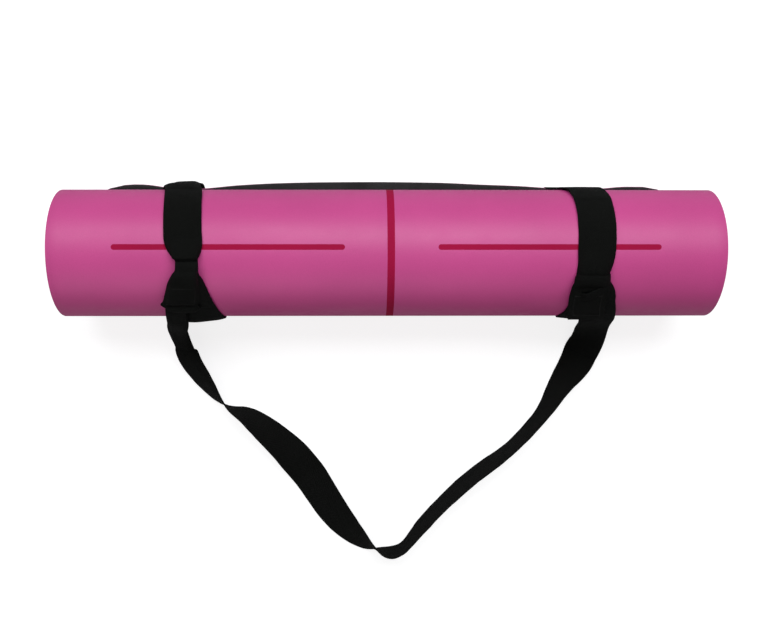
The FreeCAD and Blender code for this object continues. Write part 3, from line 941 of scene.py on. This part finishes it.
class MAT_OT_nooses(bpy.types.Operator):
    """Wraps both nooses, their sewn eyes and the eyes' seams round the roll"""

    bl_idname = "rolled_mat.nooses"
    bl_label = "Nooses"

    def add_stitch(self):
        """One stitch: a round bar, drawn in at its ends where the thread goes under."""
        bpy.ops.object.select_all(action="DESELECT")
        bpy.ops.mesh.primitive_cylinder_add(vertices=8, radius=0.5, depth=1.0)
        stitch = bpy.context.active_object
        bpy.ops.object.mode_set(mode="EDIT")
        bpy.ops.mesh.select_all(action="DESELECT")
        bpy.ops.mesh.select_mode(type="FACE")
        bpy.ops.object.mode_set(mode="OBJECT")
        for face in stitch.data.polygons:
            face.select = abs(face.normal.z) > 0.9
        bpy.ops.object.mode_set(mode="EDIT")
        bpy.ops.mesh.inset(thickness=0.2)
        bpy.ops.object.mode_set(mode="OBJECT")
        places = vertex_places(stitch)
        faces = [tuple(face.vertices) for face in stitch.data.polygons]
        bpy.data.objects.remove(stitch, do_unlink=True)
        return places, faces

    def seam(self, side, stations):
        """A box seam over the eye: a row of stitches along each edge and across each end."""
        body, faces = self.add_stitch()
        strap = strap_settings()
        spacing = strap.stitch_length * STITCH_SPACING
        start, end = EYE_SHAPES[side][0][0], EYE_SHAPES[side][-1][0]
        first, last = (
            (angle - start) / (end - start) * (EYE_ROWS - 1) for angle in STITCH_ROWS[side])
        lengthwise = math.radians(STITCH_ROWS[side][1] - STITCH_ROWS[side][0]) * ROLL_RADIUS
        count, crossways = round(lengthwise / spacing), round(SEAM_EDGE * STRAP_WIDTH / spacing)
        places = [
            (first + (last - first) * n / count, edge, False)
            for edge in (-SEAM_EDGE, SEAM_EDGE) for n in range(count + 1)
        ] + [
            (row, SEAM_EDGE * (2 * (n + 0.5) / crossways - 1), True)
            for row in (first, last) for n in range(crossways)
        ]
        points, polygons = [], []
        for row, across, sideways in places:
            center, run, width, face = surface_on(
                stations, row, across, strap.thickness / 2 + STITCH_LIFT)
            long_way, short_way = (width, run) if sideways else (run, width)
            polygons += [tuple(len(points) + corner for corner in corners) for corners in faces]
            arch = (0.25 - body[:, 2] ** 2) * STITCH_ARCH
            points += list(
                center
                + long_way * (body[:, 2] * strap.stitch_length)[:, None]
                + short_way * (body[:, 0] * STITCH_WIDTH)[:, None]
                + face * (body[:, 1] * STITCH_HEIGHT + arch)[:, None]
            )
        mesh = bpy.data.meshes.new(f"{side}_eye_seam")
        mesh.from_pydata([tuple(point) for point in points], [], polygons)
        piece = bpy.data.objects.new(f"{side}_eye_seam", mesh)
        bpy.context.collection.objects.link(piece)
        check_outward(piece)
        bpy.ops.object.shade_smooth_by_angle(angle=math.radians(50))
        return piece

    def execute(self, context):
        cloth, sewing = webbing_cloth(), get_material("Sewing Thread", thread)
        for number, side in enumerate(("left", "right")):
            band, length = make_ribbon(f"{side}_noose", noose_stations(side), 20 + number)
            finish_piece(band, cloth, f"{side}_noose_band", "nooses")
            stations = eye_stations(side)
            eye, length = make_ribbon(f"{side}_eye_loop", stations, 30 + number)
            finish_piece(eye, cloth, f"{side}_eye", "nooses")
            seam = self.seam(side, stations)
            finish_piece(seam, sewing, f"{side}_eye_stitching", "nooses")
        return {"FINISHED"}


# ---- the carrying part ----

# From the left eye over the floor to the right one: the share of the way from noose to noose, the
# distance out from the roll's -Y side and the least height, both in millimetres, the turn of its
# face about its own run, and the share of its width that shows.
CARRY_ROUTE = [
    (-0.055, 15, 52, 6, 0.44), (-0.056, 30, 24, 18, 0.48), (-0.041, 51, 6, 36, 0.74),
    (-0.003, 76, 0, 51, 0.95), (0.053, 104, 0, 78, 1), (0.124, 120, 0, 114, 1),
    (0.211, 152, 0, 143, 1), (0.281, 188, 0, 179, 1), (0.352, 231, 0, 200, 1),
    (0.422, 260, 0, 228, 1), (0.491, 275, 0, 268, 1), (0.541, 271, 0, 272, 1),
    (0.591, 246, 0, 278, 1), (0.668, 212, 0, 280, 1), (0.751, 182, 0, 281, 1),
    (0.840, 154, 0, 277, 1), (0.921, 118, 0, 280, 1), (0.972, 84, 0, 297, 1),
    (1.022, 56, 3, 328, 1), (1.043, 33, 20, 351, 1), (1.038, 15, 52, 360, 1),
]
# Where it still lies along the roll: turn from the crest, distance from the noose's middle along
# the roll and lift off the noose in millimetres, and the share of its width that shows.
CARRY_ENDS = {
    "left": [
        (40, -7, 0.2, 0.50), (50, -11.5, 0.4, 0.52), (62, -13.7, 1.2, 0.48), (76, -15.7, 4.4, 0.44),
    ],
    "right": [
        (29, -2.5, 0.2, 0.80), (37, 1.5, 0.2, 0.96), (47, 3.8, 0.4, 1), (57, 7, 0.5, 1),
        (67, 9.6, 1.2, 1), (78, 11.6, 3.6, 1),
    ],
}
CARRY_STEPS = 8
FLOOR_GAP = 0.0003


def carry_end(side):
    """The listed points beside the roll, as the floor route gives its own."""
    strap = strap_settings()
    turned = 0 if side == "left" else 2 * HALF_TURN
    for angle, along, lift, shown in CARRY_ENDS[side]:
        y, z = polar(angle, ROLL_RADIUS + strap.gap + 1.5 * strap.thickness + lift * MM)
        yield (noose_x(side) + along * MM, y, z, turned, shown)


def carry_route():
    """All listed points as x, y, least height, face turn and shown share."""
    left, right = noose_x("left"), noose_x("right")
    floor = [
        (left + share * (right - left), -ROLL_RADIUS - out * MM, height * MM, face, shown)
        for share, out, height, face, shown in CARRY_ROUTE
    ]
    return list(carry_end("left")) + floor + list(carry_end("right"))[::-1]


def carry_stations():
    """Stations along the carrying part, resting on the floor where nothing lifts it."""
    strap = strap_settings()
    route = carry_route()
    position = np.arange((len(route) - 1) * CARRY_STEPS + 1) / CARRY_STEPS
    x, y, z, face, shown = (rolling_curve(column, position) for column in zip(*route))
    turn = np.radians(face)
    half = STRAP_WIDTH / 2
    rest = half * np.abs(np.sin(turn)) + strap.thickness / 2 * np.abs(np.cos(turn)) + FLOOR_GAP
    points = np.stack([x, y, np.maximum(z, rest)], axis=1)
    stations = []
    for number, point in enumerate(points):
        run = unit(points[min(number + 1, len(points) - 1)] - points[max(number - 1, 0)])
        along = np.array([-math.copysign(run[2] ** 2, run[1]), 0.0, 0.0])
        level = np.cross((0, 0, 1), run) + along
        level = unit(level - run * level.dot(run))
        up = np.cross(run, level)
        across = level * math.cos(turn[number]) + up * math.sin(turn[number])
        stations.append((point, across, np.cross(run, across), min(shown[number], 1.0)))
    return stations


class MAT_OT_carry(bpy.types.Operator):
    """Lays the carrying part of the strap from eye to eye"""

    bl_idname = "rolled_mat.carry"
    bl_label = "Carrying Strap"

    def execute(self, context):
        piece, length = make_ribbon("carry_part_strap", carry_stations(), 3, columns=16)
        finish_piece(piece, webbing_cloth(), "carry_strap")
        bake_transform(piece)
        return {"FINISHED"}


# ---- the stage ----

# Each lamp: place, the point that it shines at, size, power and colour.
LAMPS = {
    "Key": ((0.05, 0.75, 1.35), (0, 0, 0.06), (2.3, 0.75), 25.5, (0.95, 0.97, 1.0)),
    "Fill": ((-0.4, -1.5, 1.1), (0, -0.1, 0.05), (1.6, 1.2), 6.5, (1.0, 0.95, 0.95)),
}
FLOOR_SIZE = 60
FLOOR_COLOR, FLOOR_GLOW = (0.42, 0.42, 0.42, 1), 0.8
WHITE = (1, 1, 1, 1)
# The light from all round, and what the camera sees on top of it, which meets the far floor.
WORLD_LIGHT, WORLD_SEEN = 0.14, 0.72
CAMERA_PLACE, CAMERA_TURN = (-0.030, -0.0015, 1.073), (-4.07, -0.8, 0)
SENSOR, LENS, SHIFT = 36.0, 43.97, 0.0166


class MAT_OT_stage(bpy.types.Operator):
    """Adds the pale floor, the soft lights and the camera"""

    bl_idname = "rolled_mat.stage"
    bl_label = "Stage"

    def floor(self):
        """A wide pale floor, which glows for the camera and keeps the mat's shadow."""
        bpy.ops.object.select_all(action="DESELECT")
        bpy.ops.mesh.primitive_plane_add(size=FLOOR_SIZE)
        floor = bpy.context.active_object
        floor.name = "stage_floor"
        material, tree, shader = new_material("Pale Floor")
        rays = tree.nodes.new("ShaderNodeLightPath").outputs
        seen = math_node(tree, "MAXIMUM", rays["Is Camera Ray"], rays["Is Transmission Ray"])
        set_inputs(tree, shader, {
            "Base Color": FLOOR_COLOR,
            "Roughness": 0.9,
            "Emission Color": WHITE,
            "Emission Strength": math_node(tree, "MULTIPLY", seen, FLOOR_GLOW),
        })
        floor.data.materials.append(material)

    def lamp(self, name, place, target, size, power, color):
        """A soft oblong lamp at its place, turned towards a point."""
        data = bpy.data.lights.new(name, "AREA")
        data.color = color
        data.shape, data.size, data.size_y, data.energy = "RECTANGLE", size[0], size[1], power
        lamp = bpy.data.objects.new(name, data)
        bpy.context.collection.objects.link(lamp)
        lamp.location = place
        aim = Vector(target) - Vector(place)
        lamp.rotation_euler = aim.to_track_quat("-Z", "Y").to_euler()

    def world(self):
        """Faint light from all round."""
        world = bpy.data.worlds.new("Studio")
        bpy.context.scene.world = world
        world.use_nodes = True
        tree = world.node_tree
        seen = tree.nodes.new("ShaderNodeLightPath").outputs["Is Camera Ray"]
        strength = math_node(tree, "MULTIPLY_ADD", seen, WORLD_SEEN, WORLD_LIGHT)
        set_inputs(tree, tree.nodes["Background"], {"Color": WHITE, "Strength": strength})

    def camera(self):
        """The camera, almost straight above."""
        data = bpy.data.cameras.new("Camera")
        camera = bpy.data.objects.new("Camera", data)
        bpy.context.collection.objects.link(camera)
        data.sensor_width, data.lens, data.shift_x = SENSOR, LENS, SHIFT
        camera.location = CAMERA_PLACE
        camera.rotation_euler = [math.radians(turn) for turn in CAMERA_TURN]
        bpy.context.scene.camera = camera

    def execute(self, context):
        self.floor()
        for name, values in LAMPS.items():
            self.lamp(name, *values)
        self.world()
        self.camera()
        context.scene.view_settings.view_transform = "Standard"
        return {"FINISHED"}


class MAT_PT_panel(bpy.types.Panel):
    """Lists the pieces of the rolled mat in the sidebar"""

    bl_label = "Rolled Mat"
    bl_idname = "MAT_PT_panel"
    bl_space_type = "VIEW_3D"
    bl_region_type = "UI"
    bl_category = "Mat"

    def draw(self, context):
        """A button for each operator, and every size and colour."""
        for operator in OPERATORS:
            self.layout.operator(operator.bl_idname)
        for settings in (context.scene.rolled_mat, context.scene.carry_strap):
            for name in settings.bl_rna.properties.keys():
                if name not in ("rna_type", "name"):
                    self.layout.prop(settings, name)


OPERATORS = (MAT_OT_stage, MAT_OT_carry, MAT_OT_nooses, MAT_OT_layers, MAT_OT_lines)
CLASSES = (MatSettings, StrapSettings) + OPERATORS + (MAT_PT_panel,)


def register():
    """Makes the classes and the settings known."""
    for item in CLASSES:
        bpy.utils.register_class(item)
    bpy.types.Scene.rolled_mat = bpy.props.PointerProperty(type=MatSettings)
    bpy.types.Scene.carry_strap = bpy.props.PointerProperty(type=StrapSettings)


def unregister():
    """Takes the settings and the classes away again."""
    del bpy.types.Scene.carry_strap
    del bpy.types.Scene.rolled_mat
    for item in reversed(CLASSES):
        bpy.utils.unregister_class(item)


def main():
    """Builds the stage and every piece."""
    register()
    bpy.ops.rolled_mat.stage()
    bpy.ops.rolled_mat.carry()
    bpy.ops.rolled_mat.nooses()
    bpy.ops.rolled_mat.layers()
    bpy.ops.rolled_mat.lines()


if __name__ == "__main__":
    main()
